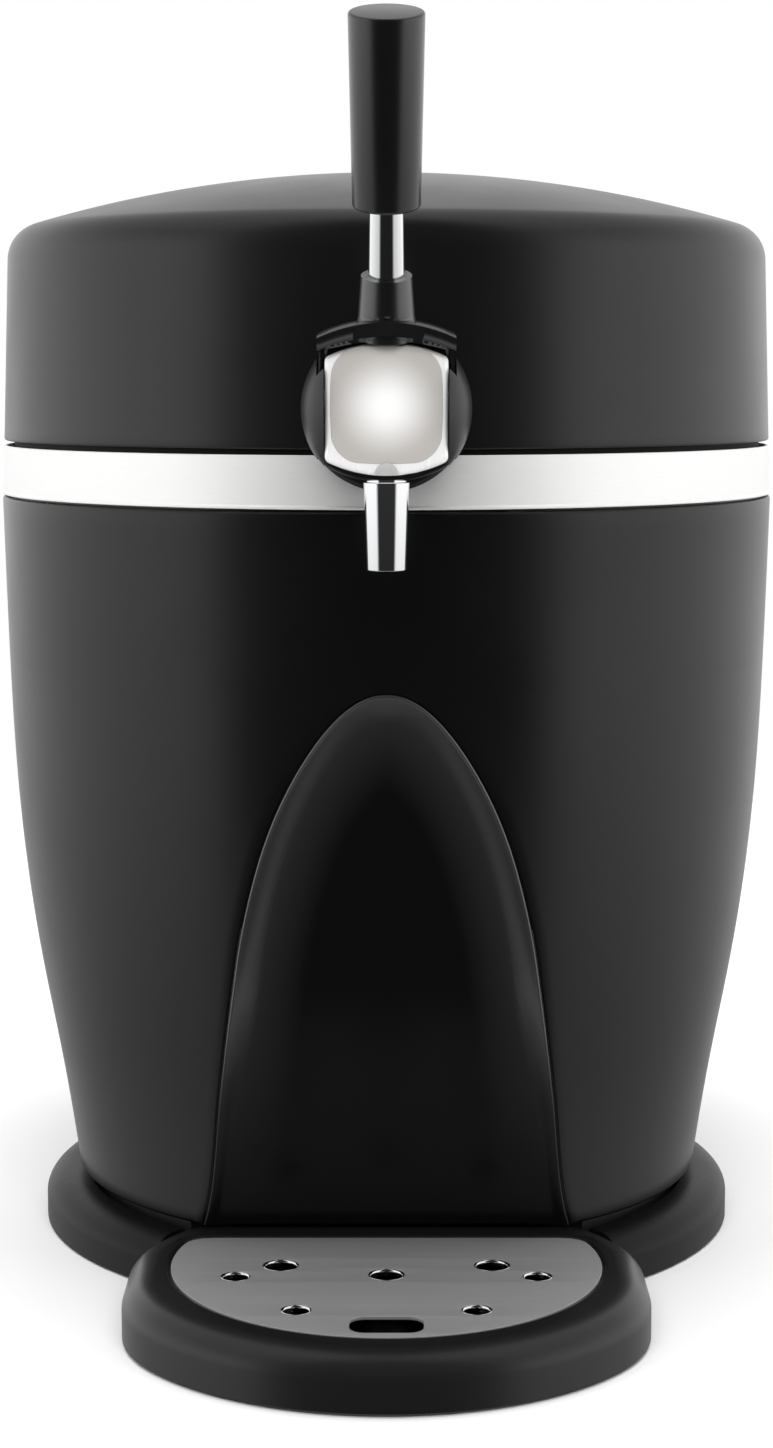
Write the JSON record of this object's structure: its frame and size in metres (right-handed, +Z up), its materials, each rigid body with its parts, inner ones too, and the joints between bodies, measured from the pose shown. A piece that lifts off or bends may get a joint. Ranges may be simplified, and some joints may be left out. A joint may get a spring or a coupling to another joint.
{
  "type": "mini keg beer dispenser",
  "caption": "Counter-top cooled beer dispenser with a domed hinged lid, a lever tap with a spout, an arched glass niche and a pull-out drip tray.",
  "frame": {"origin": "on the table under the axis of the barrel, in the plane the foot strip stands on", "axes": "+Z up, -Y towards the tap and drip tray, +X to the right of someone behind the machine looking out at the tap"},
  "size_m": [0.2782, 0.4154, 0.4165],
  "materials": {
    "black_plastic": "satin moulded",
    "dark_plastic": "fine textured",
    "gloss_black": "soft gloss",
    "lid_black": "satin gloss",
    "tap_black": "satin moulded",
    "collar_black": "satin moulded",
    "handle_black": "matte moulded",
    "satin_band": "satin",
    "satin_steel": "satin",
    "screw_steel": "plain",
    "tap_chrome": "polished plate",
    "badge_silver": "satin anodised",
    "liner_aluminium": "plain",
    "foot_rubber": "matte",
    "seal_rubber": "matte",
    "foam": "closed cell foam",
    "module_ceramic": "unglazed",
    "board_green": "coated board",
    "switch_red": "gloss",
    "wire_black": "insulation",
    "hose_fitting": "moulded",
    "rotor_plastic": "moulded",
    "hose_clear": "soft tube"
  },
  "bodies": {
    "dispenser": {"foot_strip": "foot_rubber", "base_ring": "black_plastic", "base_pan": "dark_plastic", "base_screws": "screw_steel", "body_shell": "black_plastic", "niche_panel": "gloss_black", "trim_band": "satin_band", "top_deck": "dark_plastic", "deck_seal": "seal_rubber", "keg_liner": "liner_aluminium", "body_foam": "foam", "body_hinge_leaf": "dark_plastic", "body_hinge_screws": "screw_steel", "rear_housing": "black_plastic", "rear_grille": "dark_plastic", "grille_screws": "screw_steel", "cold_block": "liner_aluminium", "cooling_module": "module_ceramic", "heat_sink": "liner_aluminium", "heat_sink_screws": "screw_steel", "temperature_probe": "screw_steel", "fan_frame": "dark_plastic", "fan_screws": "screw_steel", "power_board": "board_green", "board_screws": "screw_steel", "mains_inlet": "dark_plastic", "low_voltage_inlet": "dark_plastic", "switch_frame": "dark_plastic", "module_wires": "wire_black", "fan_wire": "wire_black", "tap_neck": "screw_steel", "tap_nut": "screw_steel", "tap_elbow": "hose_fitting", "tap_collar": "collar_black", "tap_body": "tap_black", "tap_cover": "tap_chrome", "badge_plate": "badge_silver", "spout": "tap_chrome", "beer_line": "hose_clear", "hose_clamps": "screw_steel", "keg_connector": "hose_fitting"},
    "lid": {"lid_shell": "lid_black", "lid_liner": "dark_plastic", "lid_foam": "foam", "lid_hinge_leaf": "dark_plastic", "lid_hinge_screws": "screw_steel", "hinge_pin": "screw_steel"},
    "tap_lever": {"lever_yoke": "tap_black", "lever_rod": "tap_chrome", "lever_handle": "handle_black", "valve_rotor": "rotor_plastic", "rotor_seals": "seal_rubber"},
    "drip_tray": {"drip_tray": "black_plastic"},
    "drip_plate": {"drip_plate": "satin_steel"},
    "fan_rotor": {"fan_rotor": "dark_plastic"},
    "power_switch": {"switch_rocker": "switch_red"}
  },
  "joints": [
    {"name": "lid_hinge", "type": "hinge", "parent": "dispenser", "child": "lid", "pos_m": [0, 0.147, 0.281], "axis": [-1, 0, 0], "range_deg": [0, 95]},
    {"name": "tap_lever", "type": "hinge", "parent": "dispenser", "child": "tap_lever", "pos_m": [0, -0.172, 0.3004], "axis": [1, 0, 0], "range_deg": [0, 35]},
    {"name": "drip_tray_slide", "type": "slide", "parent": "dispenser", "child": "drip_tray", "axis": [0, -1, 0], "range_m": [0, 0.12]},
    {"name": "drip_plate_lift", "type": "slide", "parent": "drip_tray", "child": "drip_plate", "axis": [0, 0, 1], "range_m": [0, 0.012]},
    {"name": "fan_spin", "type": "hinge", "parent": "dispenser", "child": "fan_rotor", "pos_m": [0, 0.171, 0.15], "axis": [0, 1, 0], "continuous": true},
    {"name": "power_switch", "type": "hinge", "parent": "dispenser", "child": "power_switch", "pos_m": [0, 0.1885, 0.062], "axis": [1, 0, 0], "range_deg": [0, 14]}
  ]
}
